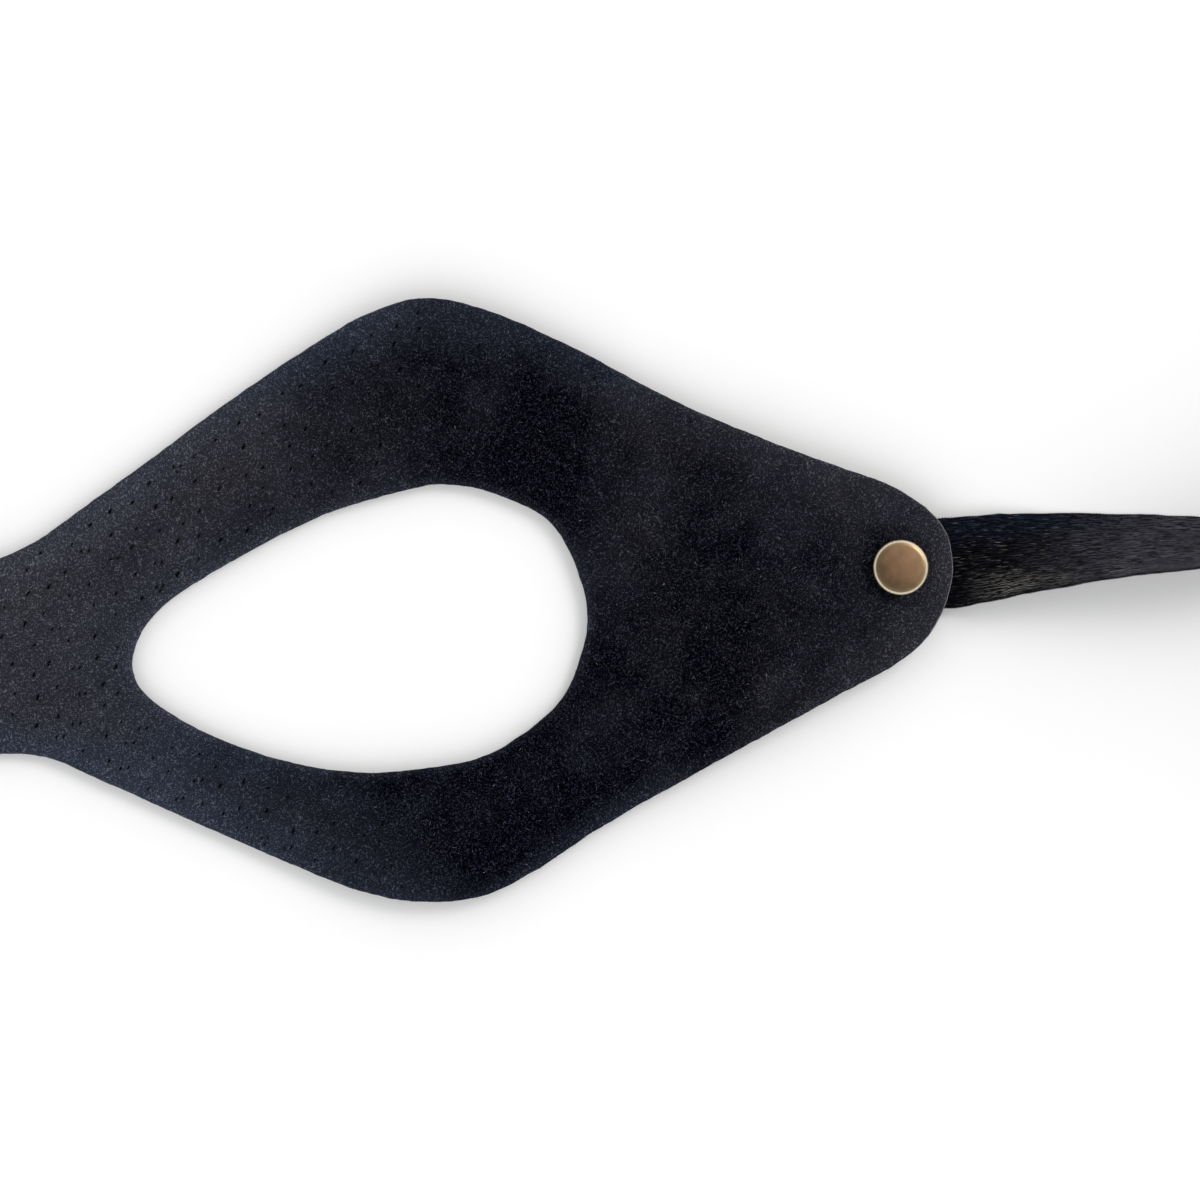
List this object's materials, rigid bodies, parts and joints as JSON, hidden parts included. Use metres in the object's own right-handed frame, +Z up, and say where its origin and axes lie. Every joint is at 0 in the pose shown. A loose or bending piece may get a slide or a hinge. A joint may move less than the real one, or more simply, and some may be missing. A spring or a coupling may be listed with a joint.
{
  "type": "leather mask",
  "caption": "Flat eye mask cut from one piece of dark suede, with pointed ends, two egg-shaped eye holes, and satin ribbon ties held by double-cap rivets",
  "frame": {"origin": "on the table that the mask lies on, on the middle line of the nose bridge, half way between the highest and the lowest point of the outline; the ribbons are not counted", "axes": "+X along the mask towards its right end as seen from the face, +Y towards the forehead, +Z up from the table, out of the face of the mask"},
  "size_m": [0.4292, 0.067, 0.01],
  "materials": {
    "suede": "matt brushed suede with fine pores, blue-black",
    "old_brass": "antique brass, darkened faces and bright worn rims",
    "satin": "black satin with lengthwise threads"
  },
  "bodies": {
    "root": {"leather_mask": "suede", "rivet_cap_right": "old_brass", "rivet_cap_left": "old_brass", "rivet_post_right": "old_brass", "rivet_post_left": "old_brass", "ribbon_right": "satin", "ribbon_left": "satin", "ribbon_coil_right": "satin", "ribbon_coil_left": "satin"}
  },
  "joints": []
}
